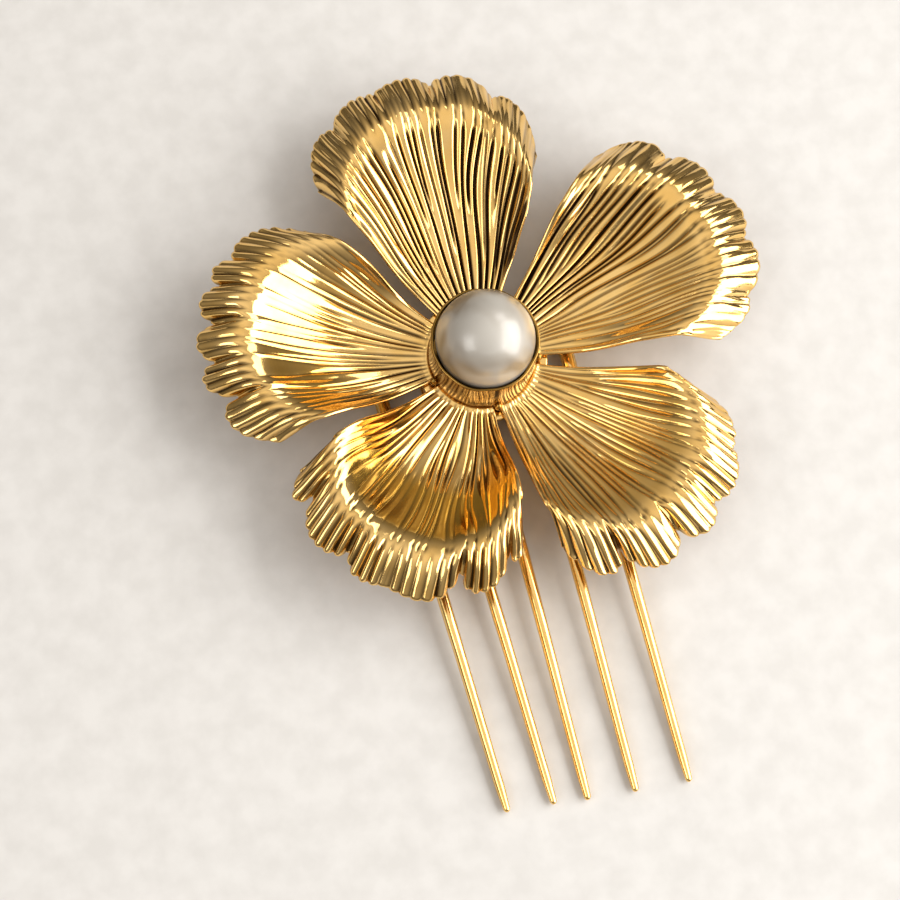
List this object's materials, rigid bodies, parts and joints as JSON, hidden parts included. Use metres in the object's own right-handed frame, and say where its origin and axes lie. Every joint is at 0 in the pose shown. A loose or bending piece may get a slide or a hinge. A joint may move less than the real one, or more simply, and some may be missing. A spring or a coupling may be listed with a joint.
{
  "type": "hair comb",
  "caption": "Decorative hair comb: a pleated metal flower round a pearl in a bezel cup, brazed across the spine of a wire-toothed comb.",
  "frame": {"origin": "centre of the comb spine's flat back face, which is the side that lies against the hair", "axes": "+X along the spine, +Y away from the teeth towards the top petal, +Z out of the flower's face"},
  "size_m": [0.0685, 0.091, 0.016],
  "materials": {
    "petal_metal": "polished",
    "comb_metal": "polished",
    "cup_metal": "polished",
    "nacre": "gloss"
  },
  "bodies": {
    "root": {"comb_spine": "comb_metal", "comb_tooth_1": "comb_metal", "comb_tooth_2": "comb_metal", "comb_tooth_3": "comb_metal", "comb_tooth_4": "comb_metal", "comb_tooth_5": "comb_metal", "backing_disc": "comb_metal", "pearl_peg": "comb_metal", "bezel_cup": "cup_metal", "pearl": "nacre", "petal_top": "petal_metal", "petal_upper_right": "petal_metal", "petal_lower_right": "petal_metal", "petal_lower_left": "petal_metal", "petal_upper_left": "petal_metal"}
  },
  "joints": []
}
